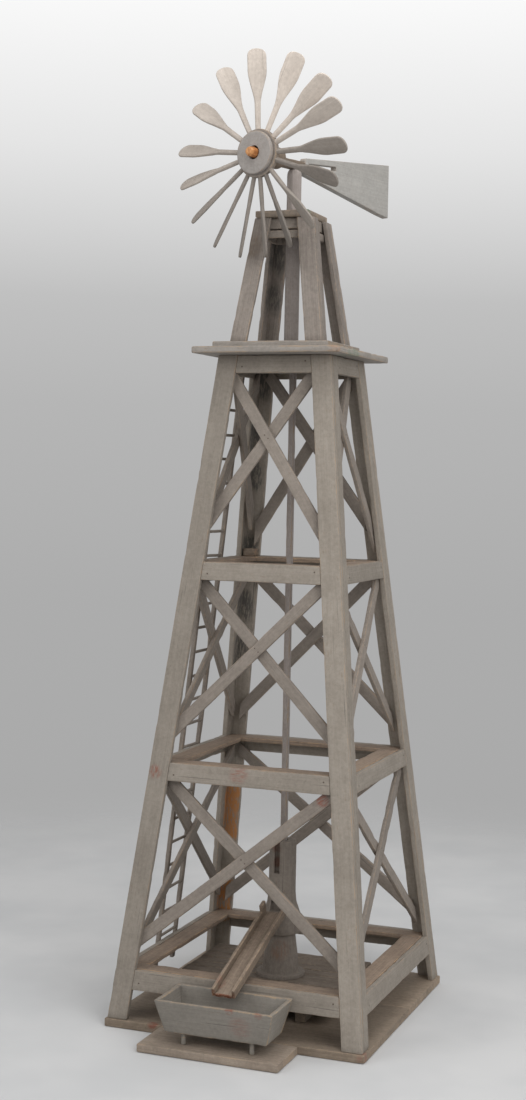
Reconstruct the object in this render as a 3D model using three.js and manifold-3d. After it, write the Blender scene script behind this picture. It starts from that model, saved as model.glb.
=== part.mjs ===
// Garden windmill: a lattice tower on a base board, a walkway, a short upper tower and a
// turning head with a sixteen-blade wheel and a tail vane. A pump, a chute and a trough stand
// in and before the tower. Millimetres, +Z up, origin on the ground under the tower's axis.
// The front, with the trough, faces -Y.
import * as THREE from 'three';
import { mergeVertices } from 'three/addons/utils/BufferGeometryUtils.js';
import Module from 'manifold-3d';

const wasm = await Module();
wasm.setup();

// ---- driving dimensions ---------------------------------------------------------------------
const GAP = 0.3; // between pieces that touch

const BASE = { halfX: 244, halfY: 250, thickness: 15 };
const LANDING = { left: -134, right: 125, front: -350 };
const DECK = { left: -183, right: 136, halfY: 141, top: 58, thickness: 12, batten: 20 };

// A tower tapers from its half widths at lowZ to those at highZ.
const LOWER_TOWER = { lowZ: 15, highZ: 1210, lowX: 240, lowY: 247, highX: 107.5, highY: 99 };
const UPPER_TOWER = { lowZ: 1235, highZ: 1462, lowX: 88.5, lowY: 84.5, highX: 56.5, highY: 52 };
const UPPER_OFFSET = -3.5; // the upper tower stands a little left of the lower one's axis
const LEG = { face: 38, thickness: 10 };
const UPPER_LEG = { face: 32, thickness: 8 };

const GIRTS = [
  { name: 'low_girt', low: 69, high: 105 },
  { name: 'middle_girt', low: 442, high: 474.5 },
  { name: 'high_girt', low: 803, high: 836 },
  { name: 'top_girt', low: 1177.5, high: 1209.5 },
];
const LEDGE = { reach: 36, thickness: 8 }; // the flat boards inside the rails
const RAIL_LAP = 1.5; // how far a rail runs into its ledge

// Each panel between two girts has two crossed braces: first the one that climbs to the right,
// then the other. A brace meets the legs' inner edge at its rise above the lower girt, and its
// head runs past the other leg's inner edge where it meets the upper girt.
const BRACE = { width: 22, thickness: 7.5, inset: 11.8, lap: 0.5, cornerClear: 28.2 };
const PANELS = [
  { name: 'low', rises: [57.5, 47.5], heads: [0, 2], near: 0 },
  { name: 'middle', rises: [67, 62], heads: [2, 8], near: 0 },
  { name: 'high', rises: [96, 60.5], heads: [-4, 13], near: 1 }, // near: the one nailed on in front
];

const WALKWAY = { halfX: 138.5, halfY: 155, board: 62, low: 1210, thickness: 12 };
const FLOOR = { left: -121, right: 101, front: -98, back: 90, low: 1222.3, high: 1235.3 };

const CAP = { left: -54, right: 48, front: -55, back: 50, low: 1462.3, high: 1474.3, mastHole: 16, post: 10 };
const SLATS = [{ low: 1442.5, high: 1461.5 }, { low: 1425.5, high: 1439.5 }];
const SLAT_THICKNESS = 7;

const HEAD_TURN = THREE.MathUtils.degToRad(-17.2); // where the head has come to rest
const AXLE_Z = 1568.5;
const MAST = { across: 26, low: 1235.6, high: 1556 };
const BARREL = { radius: 20, rear: 52, front: 100.3 };
const BEAM = { width: 18, low: 1556.3, high: 1572, rear: -22.7, front: 60 };
const PIN = { radius: 10.5, rear: 76, front: 137.5, chamfer: 3.5 };
const VANE = {
  thickness: 14,
  outline: [[23, 1556], [28, 1549.5], [271, 1509.3], [300, 1505.5], [300, 1609], [27, 1580.5], [23, 1576]],
  slot: [[35, 1563.3], [122, 1571.4], [122, 1579], [35, 1571.5]],
};

const HUB_REAR = { radius: 43.5, thickness: 10, centre: 107.8 };
const HUB_FRONT = { radius: 38.5, thickness: 9 };
const HUB_BORE = 12.5;
const BLADE = {
  thickness: 5, stem: 10, tenon: 6, tenonRoot: 36, root: 43.8, stemEnd: 91, paddle: 35,
  paddleStart: 146, tipRound: 14,
};
const BLADE_PITCH = THREE.MathUtils.degToRad(45);
// The blades were cut and set by eye: each one's angle, clockwise from the top, and its tip's
// distance from the wheel's centre.
const BLADES = [
  [-2.6, 187], [27, 187], [52, 191], [68, 190], [91, 192], [110, 187], [137.5, 187], [155.5, 187],
  [173.5, 187], [192, 187], [212, 188], [234.5, 188], [257, 185], [277.3, 185], [304.5, 179], [332, 183.5],
];

const LADDER = { spacing: 80, stile: 10, depth: 8, low: 49, high: 1200, rung: 3, firstRung: 109.5, pitch: 45.6 };
const ROD = { across: 12, x: 1.5, low: 250.3, high: 1206 };

const PUMP = {
  // Radius and height up the turned body, from the flange on the deck to the mouth of the neck.
  profile: [
    [46, 58.3], [46, 64.5], [35.5, 64.8], [26.5, 137], [37, 139], [37, 170], [27.5, 196], [25.5, 215], [25.5, 312],
  ],
  bore: 10, boreFloor: 250,
  slot: { x: -3, width: 14, low: 245 },
  mouth: { halfX: 13, low: 182, high: 200, depth: 24 },
};
const CHUTE = {
  width: 44, floor: 6, wall: 5, wallHeight: 10,
  top: { y: -38.5, z: 184 }, foot: { y: -288, z: 99 }, ear: { length: 20, height: 22 },
};
const TROUGH = {
  x: 4.5, y: -295.5, low: 36.5, high: 95, topX: 108, topY: 53.5, lowX: 93, lowY: 38, wall: 8, floor: 7,
  peg: { radius: 4.5, dx: 63, dy: 25.5 },
};

// ---- materials ------------------------------------------------------------------------------
const paint = (color, roughness = 0.82) => new THREE.MeshStandardMaterial({ color, roughness, metalness: 0 });
const GREY_PAINT = paint(0x8b837a);
const DARK_PAINT = paint(0x6f6a63);
const BASE_WOOD = paint(0x84715f, 0.9);
const TROUGH_PAINT = paint(0x77746e);
const BARE_WOOD = paint(0x7a5c42, 0.85);
const PALE_BLADE = paint(0xa89a8b);
const COPPER_WOOD = paint(0xc8783c, 0.55);

// ---- solids: joining and cutting ------------------------------------------------------------
function toSolid(geometry) {
  const bare = geometry.clone();
  bare.deleteAttribute('normal');
  bare.deleteAttribute('uv');
  const merged = mergeVertices(bare, 1e-4);
  const vertProperties = merged.attributes.position.array;
  return new wasm.Manifold(new wasm.Mesh({ numProp: 3, vertProperties, triVerts: merged.index.array }));
}

function toGeometry(solid) {
  const { vertProperties, triVerts } = solid.getMesh();
  const geometry = new THREE.BufferGeometry();
  geometry.setAttribute('position', new THREE.BufferAttribute(new Float32Array(vertProperties), 3));
  geometry.setIndex(new THREE.BufferAttribute(new Uint32Array(triVerts), 1));
  return geometry;
}

const join = (...geometries) => toGeometry(geometries.map(toSolid).reduce((sum, next) => sum.add(next)));
const cut = (body, ...tools) => toGeometry(tools.map(toSolid).reduce((rest, tool) => rest.subtract(tool), toSolid(body)));
const overlap = (a, b) => toGeometry(toSolid(a).intersect(toSolid(b)));

// ---- plain shapes ---------------------------------------------------------------------------
function box(x0, x1, y0, y1, z0, z1) {
  const geometry = new THREE.BoxGeometry(x1 - x0, y1 - y0, z1 - z0);
  return geometry.translate((x0 + x1) / 2, (y0 + y1) / 2, (z0 + z1) / 2);
}

function prism(points, depth, hole) {
  const shape = new THREE.Shape(points.map(([x, y]) => new THREE.Vector2(x, y)));
  if (hole) shape.holes.push(new THREE.Path(hole.map(([x, y]) => new THREE.Vector2(x, y))));
  return new THREE.ExtrudeGeometry(shape, { depth, bevelEnabled: false });
}

// A cylinder or polygon post that stands on zLow.
function post(radius, zLow, zHigh, sides) {
  const geometry = new THREE.CylinderGeometry(radius, radius, zHigh - zLow, sides);
  return geometry.rotateX(Math.PI / 2).translate(0, 0, (zLow + zHigh) / 2);
}

// A body turned about Z; the profile's points are [radius, height], from the bottom up.
function turned(profile, sides) {
  const points = [[0, profile[0][1]], ...profile, [0, profile.at(-1)[1]]];
  return new THREE.LatheGeometry(points.map(([r, z]) => new THREE.Vector2(r, z)), sides).rotateX(Math.PI / 2);
}

// A square frame with upright sides, from its outer half widths.
function frameRing(halfX, halfY, wall, zLow, zHigh) {
  const outer = box(-halfX, halfX, -halfY, halfY, zLow, zHigh);
  return cut(outer, box(wall - halfX, halfX - wall, wall - halfY, halfY - wall, zLow - 1, zHigh + 1));
}

function taperedBox(lowX, lowY, highX, highY, zLow, zHigh) {
  const geometry = new THREE.BoxGeometry(2, 2, zHigh - zLow).translate(0, 0, (zLow + zHigh) / 2);
  const position = geometry.attributes.position;
  for (let i = 0; i < position.count; i += 1) {
    const top = position.getZ(i) > (zLow + zHigh) / 2;
    position.setX(i, position.getX(i) * (top ? highX : lowX));
    position.setY(i, position.getY(i) * (top ? highY : lowY));
  }
  return geometry;
}

// ---- boards on the sloping faces of a tower -------------------------------------------------
// Side 0 is the front, then 1 right, 2 back and 3 left, each a quarter turn about Z. Along a
// face, s runs to the right as seen from outside, and z is the height.
const { lerp } = THREE.MathUtils;
const halfXAt = (t, z) => lerp(t.lowX, t.highX, (z - t.lowZ) / (t.highZ - t.lowZ));
const halfYAt = (t, z) => lerp(t.lowY, t.highY, (z - t.lowZ) / (t.highZ - t.lowZ));
const alongAt = (t, side, z) => (side % 2 ? halfYAt(t, z) : halfXAt(t, z));
const outwardAt = (t, side, z) => (side % 2 ? halfXAt(t, z) : halfYAt(t, z));
const leanOf = (t, side) => Math.atan(outwardAt(t, side, 0) - outwardAt(t, side, 1));

// A board whose outline is [s, z] points on the face, set inset millimetres in from it.
function board(t, side, outline, inset, thickness) {
  const lean = leanOf(t, side);
  const geometry = prism(outline.map(([s, z]) => [s, z / Math.cos(lean)]), thickness);
  geometry.translate(0, 0, -(inset + thickness));
  geometry.rotateX(Math.PI / 2 - lean).translate(0, -outwardAt(t, side, 0), 0);
  return geometry.rotateZ((side * Math.PI) / 2);
}

// The two boards of the leg at the right-hand end of a side, trimmed level at both ends.
function cornerLeg(t, side, leg, zLow, zHigh) {
  const spare = 5;
  const low = zLow - spare;
  const high = zHigh + spare;
  const halfBoard = (face, sign) => {
    const edge = (z, fromCorner) => [sign * (alongAt(t, face, z) - fromCorner), z];
    return board(t, face, [edge(low, 0), edge(high, 0), edge(high, leg.face), edge(low, leg.face)], 0, leg.thickness);
  };
  const limits = box(-400, 400, -400, 400, zLow, zHigh);
  return overlap(join(halfBoard(side, 1), halfBoard((side + 1) % 4, -1)), limits);
}

// A rail between two legs on one side, flush with the legs outside.
function rail(t, side, leg, zLow, zHigh, thickness) {
  const end = (z) => alongAt(t, side, z) - leg.face - GAP;
  const outline = [[-end(zLow), zLow], [end(zLow), zLow], [end(zHigh), zHigh], [-end(zHigh), zHigh]];
  return board(t, side, outline, 0, thickness);
}

// Four rails joined inside the legs by a flat frame of ledge boards.
function girtRing(t, leg, zLow, zHigh, reach, thickness) {
  const inside = leg.thickness + 0.5;
  const ledge = frameRing(
    halfXAt(t, zHigh) - inside, halfYAt(t, zHigh) - inside, reach, zHigh - 1 - thickness, zHigh - 1,
  );
  const rails = [0, 1, 2, 3].map((side) => rail(t, side, leg, zLow, zHigh, leg.thickness + RAIL_LAP));
  return join(ledge, ...rails);
}

// ---- sub-parts ------------------------------------------------------------------------------
const windmill = new THREE.Group();

// The upper tower, its cap and the head stand on a centre line of their own.
const upperStage = new THREE.Group();
upperStage.position.x = UPPER_OFFSET;
windmill.add(upperStage);

function addPart(name, geometry, material, parent = windmill) {
  const mesh = new THREE.Mesh(geometry, material);
  mesh.name = name;
  parent.add(mesh);
  return mesh;
}

function buildBase() {
  const { halfX, halfY, thickness } = BASE;
  addPart('base_board', box(-halfX, halfX, -halfY, halfY, 0, thickness), BASE_WOOD);
  const { left, right, front } = LANDING;
  addPart('trough_landing', box(left, right, front, -halfY - GAP, 0, thickness), BASE_WOOD);
}

function buildDeck() {
  const { left, right, halfY, top, thickness, batten } = DECK;
  const battenEnd = halfY - 10;
  const battens = [left + 40, right - 60].map((x) => (
    box(x, x + batten, -battenEnd, battenEnd, BASE.thickness + GAP, top - thickness + 1)
  ));
  addPart('well_deck', join(box(left, right, -halfY, halfY, top - thickness, top), ...battens), BASE_WOOD);
}

const CORNERS = ['front_right', 'back_right', 'back_left', 'front_left'];
const SIDES = ['front', 'right', 'back', 'left'];

function buildLegs() {
  CORNERS.forEach((corner, side) => {
    const lower = cornerLeg(LOWER_TOWER, side, LEG, BASE.thickness + GAP, WALKWAY.low - GAP);
    addPart(`leg_${corner}`, lower, GREY_PAINT);
    const upper = cornerLeg(UPPER_TOWER, side, UPPER_LEG, FLOOR.high + GAP, CAP.low - GAP);
    addPart(`upper_leg_${corner}`, upper, GREY_PAINT, upperStage);
  });
}

function buildGirts() {
  GIRTS.forEach(({ name, low, high }) => {
    addPart(name, girtRing(LOWER_TOWER, LEG, low, high, LEDGE.reach, LEDGE.thickness), GREY_PAINT);
  });
}

// One brace of a panel: a straight band cut to the space behind the legs and the upper girt.
function brace(side, panel, climb, inset) {
  const { width, thickness, cornerClear } = BRACE;
  const lower = GIRTS[panel].high + PANELS[panel].rises[climb];
  const upper = GIRTS[panel + 1].low;
  const sign = climb === 0 ? 1 : -1;
  const start = new THREE.Vector2(-sign * (alongAt(LOWER_TOWER, side, lower) - LEG.face), lower);
  const head = alongAt(LOWER_TOWER, side, upper) - LEG.face + PANELS[panel].heads[climb];
  const end = new THREE.Vector2(sign * head, upper);
  const along = end.clone().sub(start).normalize();
  const across = new THREE.Vector2(-along.y, along.x).multiplyScalar(width / 2);
  const reach = along.clone().multiplyScalar(60);
  const from = start.clone().sub(reach);
  const to = end.clone().add(reach);
  const band = [from.clone().sub(across), to.clone().sub(across), to.clone().add(across), from.clone().add(across)];
  const low = GIRTS[panel].high + 5;
  const high = upper + 18;
  const limit = (z) => alongAt(LOWER_TOWER, side, z) - cornerClear;
  const space = [[-limit(low), low], [limit(low), low], [limit(high), high], [-limit(high), high]];
  const bandBoard = board(LOWER_TOWER, side, band.map((p) => [p.x, p.y]), inset, thickness);
  return overlap(bandBoard, board(LOWER_TOWER, side, space, inset, thickness));
}

function buildBraces() {
  const { inset, thickness, lap } = BRACE;
  PANELS.forEach(({ name, near }, panel) => {
    SIDES.forEach((sideName, side) => {
      const outer = brace(side, panel, near, inset);
      const inner = brace(side, panel, 1 - near, inset + thickness - lap);
      addPart(`${name}_braces_${sideName}`, join(outer, inner), GREY_PAINT);
    });
  });
}

function buildWalkway() {
  const { halfX, halfY, board: width, low, thickness } = WALKWAY;
  SIDES.forEach((sideName, side) => {
    const long = side % 2 ? halfY : halfX;
    const out = side % 2 ? halfX : halfY;
    const points = [
      [GAP - long, -out], [long - GAP, -out], [long - width - GAP, width - out], [width + GAP - long, width - out],
    ];
    const geometry = prism(points, thickness).translate(0, 0, low).rotateZ((side * Math.PI) / 2);
    addPart(`walkway_${sideName}`, geometry, GREY_PAINT);
  });
  const floor = box(FLOOR.left, FLOOR.right, FLOOR.front, FLOOR.back, FLOOR.low, FLOOR.high);
  addPart('walkway_floor', floor, GREY_PAINT);
}

function buildCap() {
  const { left, right, front, back, low, high, mastHole, post: side } = CAP;
  const plate = box(left, right, front, back, low, high);
  const inside = UPPER_LEG.thickness + 1;
  const slats = SLATS.map((slat) => (
    frameRing(
      halfXAt(UPPER_TOWER, slat.high) - inside, halfYAt(UPPER_TOWER, slat.high) - inside,
      SLAT_THICKNESS, slat.low, slat.high,
    )
  ));
  const cornerX = halfXAt(UPPER_TOWER, SLATS[0].high) - inside - SLAT_THICKNESS;
  const cornerY = halfYAt(UPPER_TOWER, SLATS[0].high) - inside - SLAT_THICKNESS;
  const posts = [[1, 1], [1, -1], [-1, 1], [-1, -1]].map(([sx, sy]) => {
    const block = box(-side / 2, side / 2, -side / 2, side / 2, SLATS[1].low, low + 1);
    return block.translate(sx * cornerX, sy * cornerY, 0);
  });
  const hole = post(mastHole, SLATS[1].low - 1, high + 1, 24);
  addPart('cap', cut(join(plate, ...slats, ...posts), hole), GREY_PAINT, upperStage);
}

function buildLadder() {
  const { spacing, stile, depth, low, high, rung, firstRung, pitch } = LADDER;
  const leftSide = 3;
  const pieces = [-1, 1].map((sign) => {
    const s = (sign * spacing) / 2;
    const outline = [[s - stile / 2, low], [s + stile / 2, low], [s + stile / 2, high], [s - stile / 2, high]];
    return board(LOWER_TOWER, leftSide, outline, -(depth + 0.5), depth);
  });
  for (let z = firstRung; z < high; z += pitch) {
    const x = -(outwardAt(LOWER_TOWER, leftSide, z) + depth / 2 + 0.5);
    pieces.push(new THREE.CylinderGeometry(rung, rung, spacing + 1, 8).translate(x, 0, z));
  }
  addPart('ladder', join(...pieces), GREY_PAINT);
}

function buildPump() {
  const { profile, bore, boreFloor, slot, mouth } = PUMP;
  const top = profile.at(-1)[1];
  const neck = profile.at(-1)[0];
  const slotCut = box(slot.x - slot.width / 2, slot.x + slot.width / 2, -neck - 5, 0, slot.low, top + 1);
  const widest = 40;
  const mouthCut = box(-mouth.halfX, mouth.halfX, -widest, mouth.depth - widest, mouth.low, mouth.high);
  const body = cut(turned(profile, 32), post(bore, boreFloor, top + 1, 20), slotCut, mouthCut);
  addPart('pump_body', body, DARK_PAINT);
  const rod = box(-ROD.across / 2, ROD.across / 2, -ROD.across / 2, ROD.across / 2, ROD.low, ROD.high);
  addPart('pump_rod', rod.translate(ROD.x, 0, 0), DARK_PAINT);
}

function buildChute() {
  const { width, floor, wall, wallHeight, top, foot, ear } = CHUTE;
  const half = width / 2;
  const section = [
    [-half, -floor], [half, -floor], [half, wallHeight], [half - wall, wallHeight], [half - wall, 0],
    [wall - half, 0], [wall - half, wallHeight], [-half, wallHeight],
  ];
  const length = Math.hypot(top.y - foot.y, top.z - foot.z);
  const earPlate = box(-half, wall - half, 0, ear.height, 0, ear.length);
  const slope = Math.atan2(top.z - foot.z, top.y - foot.y);
  const body = join(prism(section, length), earPlate);
  // The section's third axis runs from the pump down the slope.
  body.rotateX(Math.PI / 2 + slope).translate(0, top.y, top.z);
  addPart('chute', body, BASE_WOOD);
}

function buildTrough() {
  const { x, y, low, high, topX, topY, lowX, lowY, wall, floor, peg } = TROUGH;
  const outer = taperedBox(lowX, lowY, topX, topY, low, high);
  const hollow = taperedBox(lowX - wall, lowY - wall, topX - wall + 1, topY - wall + 1, low + floor, high + 4);
  const pegs = [[-1, -1], [1, -1], [-1, 1], [1, 1]].map(([sx, sy]) => (
    post(peg.radius, BASE.thickness + GAP, low + 2, 12).translate(sx * peg.dx, sy * peg.dy, 0)
  ));
  const body = join(cut(outer, hollow), ...pegs);
  addPart('trough', body.translate(x, y, 0), TROUGH_PAINT);
}

// In the head's group, -Y is the way that the wheel faces.
function buildHead() {
  const head = new THREE.Group();
  head.rotation.z = HEAD_TURN;
  upperStage.add(head);

  const mastRadius = MAST.across / 2 / Math.cos(Math.PI / 8);
  addPart('mast', post(mastRadius, MAST.low, MAST.high, 8).rotateZ(Math.PI / 8), DARK_PAINT, head);

  const alongAxle = (geometry) => geometry.rotateX(Math.PI / 2).translate(0, 0, AXLE_Z);
  const barrel = alongAxle(post(BARREL.radius, BARREL.rear, BARREL.front, 28));
  const beam = box(-BEAM.width / 2, BEAM.width / 2, -BEAM.front, -BEAM.rear, BEAM.low, BEAM.high);
  const socket = alongAxle(post(PIN.radius + GAP, PIN.rear - GAP, BARREL.front + 1, 24));
  addPart('head_block', cut(join(barrel, beam), socket), BARE_WOOD, head);

  const { radius, rear, front, chamfer } = PIN;
  const pin = turned([[radius, rear], [radius, front - chamfer], [radius - chamfer, front]], 24);
  addPart('axle_pin', alongAxle(pin), COPPER_WOOD, head);

  const vane = prism(VANE.outline, VANE.thickness, VANE.slot).translate(0, 0, -VANE.thickness / 2);
  // The outline's first axis runs back from the mast and its second one up.
  const tail = addPart('tail_vane', vane, GREY_PAINT, head);
  tail.rotation.set(Math.PI / 2, 0, Math.PI / 2, 'ZXY');
  buildWheel(head);
}

function bladeGeometry(tip) {
  const { thickness, stem, tenon, tenonRoot, root, stemEnd, paddle, paddleStart, tipRound } = BLADE;
  const half = [
    [tenon / 2, tenonRoot], [tenon / 2, root], [stem / 2, root], [stem / 2 + 0.8, stemEnd],
    [paddle / 2, paddleStart], [paddle / 2, tip - tipRound],
  ];
  const outline = new THREE.Shape();
  outline.moveTo(...half[0]);
  half.slice(1).forEach(([x, y]) => outline.lineTo(x, y));
  outline.quadraticCurveTo(paddle / 2 - 1, tip - 1, 0, tip);
  outline.quadraticCurveTo(1 - paddle / 2, tip - 1, -paddle / 2, tip - tipRound);
  half.slice(0, -1).reverse().forEach(([x, y]) => outline.lineTo(-x, y));
  outline.closePath();
  const geometry = new THREE.ExtrudeGeometry(outline, { depth: thickness, bevelEnabled: false, curveSegments: 5 });
  return geometry.translate(0, 0, -thickness / 2);
}

// In the wheel's group, +Z is the way that the wheel faces and +Y is up.
function buildWheel(head) {
  const wheel = new THREE.Group();
  wheel.position.set(0, -HUB_REAR.centre, AXLE_Z);
  wheel.rotation.x = Math.PI / 2;
  head.add(wheel);

  const disc = (radius, low, high) => cut(post(radius, low, high, 48), post(HUB_BORE, low - 1, high + 1, 24));
  const socket = () => {
    const wide = BLADE.tenon / 2 + GAP;
    const thick = BLADE.thickness / 2 + GAP;
    return box(-wide, wide, BLADE.tenonRoot - GAP, BLADE.root + 5, -thick, thick);
  };
  const sockets = BLADES.map(([angle]) => (
    socket().rotateY(BLADE_PITCH).rotateZ(-THREE.MathUtils.degToRad(angle))
  ));
  const half = HUB_REAR.thickness / 2;
  addPart('hub_rear', cut(disc(HUB_REAR.radius, -half, half), ...sockets), GREY_PAINT, wheel);
  addPart('hub_front', disc(HUB_FRONT.radius, half + GAP, half + GAP + HUB_FRONT.thickness), GREY_PAINT, wheel);

  BLADES.forEach(([angle, tip], index) => {
    const name = `blade_${String(index + 1).padStart(2, '0')}`;
    const blade = addPart(name, bladeGeometry(tip), PALE_BLADE, wheel);
    blade.rotation.set(0, BLADE_PITCH, -THREE.MathUtils.degToRad(angle), 'ZYX');
  });
}

buildBase();
buildDeck();
buildLegs();
buildGirts();
buildBraces();
buildWalkway();
buildCap();
buildLadder();
buildPump();
buildChute();
buildTrough();
buildHead();

export default windmill;
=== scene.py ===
"""The looks of the garden windmill, built as worn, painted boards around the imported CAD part.

Shapes are given in millimetres, in the CAD part's frame, and become metres when a piece is made.
"""

import math
import random

import bmesh
import bpy
from mathutils import Matrix, Vector, noise


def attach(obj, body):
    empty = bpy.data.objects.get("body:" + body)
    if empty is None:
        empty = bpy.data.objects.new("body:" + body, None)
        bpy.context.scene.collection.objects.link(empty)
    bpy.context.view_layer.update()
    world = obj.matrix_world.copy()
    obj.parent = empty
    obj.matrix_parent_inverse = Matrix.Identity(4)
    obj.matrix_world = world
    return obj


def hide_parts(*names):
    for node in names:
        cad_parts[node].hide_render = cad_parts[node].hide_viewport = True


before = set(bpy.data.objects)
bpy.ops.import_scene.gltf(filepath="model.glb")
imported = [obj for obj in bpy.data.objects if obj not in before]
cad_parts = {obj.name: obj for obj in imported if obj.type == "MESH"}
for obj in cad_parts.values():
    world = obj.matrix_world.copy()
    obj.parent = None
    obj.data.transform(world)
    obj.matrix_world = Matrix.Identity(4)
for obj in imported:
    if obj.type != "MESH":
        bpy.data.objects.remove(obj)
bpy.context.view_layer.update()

MM = 0.001
GAP = 0.3
SIDES = ("front", "right", "back", "left")
CORNERS = ("front_right", "back_right", "back_left", "front_left")
LEFT = SIDES.index("left")


# ---- the two towers ----
class Tower:
    """Four sloping faces, numbered as in SIDES."""

    def __init__(self, low, high, low_x, low_y, high_x, high_y, shift=0.0):
        self.low, self.high, self.shift = low, high, shift
        self.half = ((low_x, high_x), (low_y, high_y))

    def _half(self, axis, z):
        low, high = self.half[axis]
        return low + (high - low) * (z - self.low) / (self.high - self.low)

    def along(self, side, z):
        """Half the width of a side at a height."""
        return self._half(side % 2, z)

    def out(self, side, z):
        """How far a side stands from the axis at a height."""
        return self._half(1 - side % 2, z)

    def inside(self, z, clearance):
        """Half the width and half the depth of the space within, clearance in from the faces."""
        return self.along(0, z) - clearance, self.out(0, z) - clearance

    def lean(self, side):
        return math.atan(self.out(side, 0) - self.out(side, 1))

    def place(self, side, s, z, depth):
        """The point s along a face and z up it, depth in from the face."""
        lean = self.lean(side)
        x, y = s, depth * math.cos(lean) - self.out(side, z)
        for _ in range(side):
            x, y = -y, x
        return Vector((x + self.shift, y, z - depth * math.sin(lean)))

    def outward(self, side):
        """The direction that a face looks in."""
        return (self.place(side, 0, 0, 0) - self.place(side, 0, 0, 1)).normalized()


BASE_HALF_WIDTH, BASE_HALF_DEPTH, BASE_TOP = 244, 250, 15
WALK_LOW, WALK_HIGH, FLOOR_HIGH = 1210, 1222, 1235.3
LOWER = Tower(low=BASE_TOP, high=WALK_LOW, low_x=240, low_y=247, high_x=107.5, high_y=99)
UPPER = Tower(low=1235, high=1462, low_x=88.5, low_y=84.5, high_x=56.5, high_y=52, shift=-3.5)
LEG_FACE, LEG_THICKNESS = 38, 10
UPPER_FACE, UPPER_THICKNESS = 32, 8
# Each level of rails: its name and the heights of its lower and upper edges.
GIRTS = (
    ("low_girt", 69, 105),
    ("middle_girt", 442, 474.5),
    ("high_girt", 803, 836),
    ("top_girt", 1177.5, 1209.5),
)
LEDGE_REACH, LEDGE_THICKNESS = 36, 8
BRACE_WIDTH, BRACE_THICKNESS, BRACE_INSET = 22, 7.5, 11.8
# Each panel between two levels has a brace that climbs to the right and one that climbs to the
# left. For the two of them: how far above the lower rail they meet their leg, and how far their
# heads run past the other leg's inner edge. Last comes which of them lies outside, 0 or 1.
PANELS = (
    ("low", (57.5, 47.5), (0, 2), 0),
    ("middle", (67, 62), (2, 8), 0),
    ("high", (96, 60.5), (-4, 13), 1),
)

# ---- materials ----
OBJECT_SPACE = "Object"


def rgba(colour, share=1.0):
    """A colour, or a darker share of it, as a socket takes it."""
    return (*(c * share for c in colour), 1.0)


class Graph:
    """Short calls for building the nodes of a material or a world."""

    def __init__(self, owner):
        owner.use_nodes = True
        self.tree = owner.node_tree

    def put(self, socket, value):
        """Sets a socket, or links another node's output to it."""
        if isinstance(value, bpy.types.NodeSocket):
            self.tree.links.new(value, socket)
        else:
            socket.default_value = value

    def set(self, node, **inputs):
        """Puts values into a node's inputs, named with _ for each space."""
        for name, value in inputs.items():
            self.put(node.inputs[name.replace("_", " ")], value)
        return node

    def node(self, kind, **inputs):
        return self.set(self.tree.nodes.new(kind), **inputs)

    def calculate(self, kind, operation, a, b):
        made = self.node(kind)
        made.operation = operation
        self.put(made.inputs[0], a)
        self.put(made.inputs[1], b)
        return made

    def math(self, operation, a, b):
        return self.calculate("ShaderNodeMath", operation, a, b).outputs[0]

    def vector_math(self, operation, a, b=(0, 0, 0)):
        made = self.calculate("ShaderNodeVectorMath", operation, a, b)
        return made.outputs["Value" if operation == "LENGTH" else "Vector"]

    def total(self, *parts):
        """The sum of values, each times its share."""
        total = 0.0
        for value, share in parts:
            total = self.math("ADD", total, self.math("MULTIPLY", value, share))
        return total

    def mix(self, factor, a, b):
        made = self.node("ShaderNodeMix")
        made.data_type = "RGBA"
        for index, value in ((0, factor), (6, a), (7, b)):
            self.put(made.inputs[index], value)
        return made.outputs[2]

    def mix_shader(self, factor, a, b):
        made = self.node("ShaderNodeMixShader", Fac=factor)
        self.put(made.inputs[1], a.outputs[0])
        self.put(made.inputs[2], b.outputs[0])
        return made.outputs[0]

    def noise(self, vector, scale=1.0, detail=3.0, roughness=0.55, distortion=0.0):
        return self.node("ShaderNodeTexNoise", Vector=vector, Scale=scale, Detail=detail,
                         Roughness=roughness, Distortion=distortion).outputs[0]

    def step(self, value, low, high, to_low=0.0, to_high=1.0):
        made = self.node("ShaderNodeMapRange", Value=value, From_Min=low, From_Max=high,
                         To_Min=to_low, To_Max=to_high)
        made.interpolation_type = "SMOOTHSTEP"
        return made.outputs[0]

    def bump(self, height, strength):
        return self.node("ShaderNodeBump", Strength=strength, Distance=0.0006, Height=height).outputs[0]


class Material(Graph):
    """A material's nodes, with its shader and the place of each point on the object."""

    def __init__(self, name):
        self.made = bpy.data.materials.new(name)
        super().__init__(self.made)
        self.shader = self.tree.nodes["Principled BSDF"]
        self.places = self.node("ShaderNodeTexCoord").outputs[OBJECT_SPACE]

    def attribute(self, name, output="Fac"):
        made = self.node("ShaderNodeAttribute")
        made.attribute_name = name
        return made.outputs[output]

    def spot(self, centre, radii):
        """1 in the middle of a ball or an ellipsoid, given in millimetres, fading to 0 at its surface."""
        if not isinstance(radii, tuple):
            radii = (radii, radii, radii)
        away = self.vector_math("SUBTRACT", self.places, [MM * c for c in centre])
        away = self.vector_math("DIVIDE", away, [MM * r for r in radii])
        return self.step(self.vector_math("LENGTH", away), 1.0, 0.45)


RED = (0.24, 0.055, 0.03)
RUST_BROWN = (0.15, 0.055, 0.03)
OLD_RUST = (0.24, 0.12, 0.07)
ORANGE_WOOD = (0.42, 0.19, 0.07)
TAN_WOOD = (0.36, 0.19, 0.1)
GREEN_TRACE = (0.13, 0.19, 0.13)
# The colour of the painted shade inside the back left leg's corner.
CORNER_SHADE = (0.112, 0.104, 0.092)
TAN = (0.32, 0.24, 0.17)
RIM_TAN = (0.3, 0.23, 0.165)
BARE = (0.2, 0.13, 0.08)
# How much a tone of 1 lightens the paint. A board's tone is from -1 to 1 and random; a blade's goes
# further, as it carries painted light and shade.
TONE_SHARE = 0.09
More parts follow.
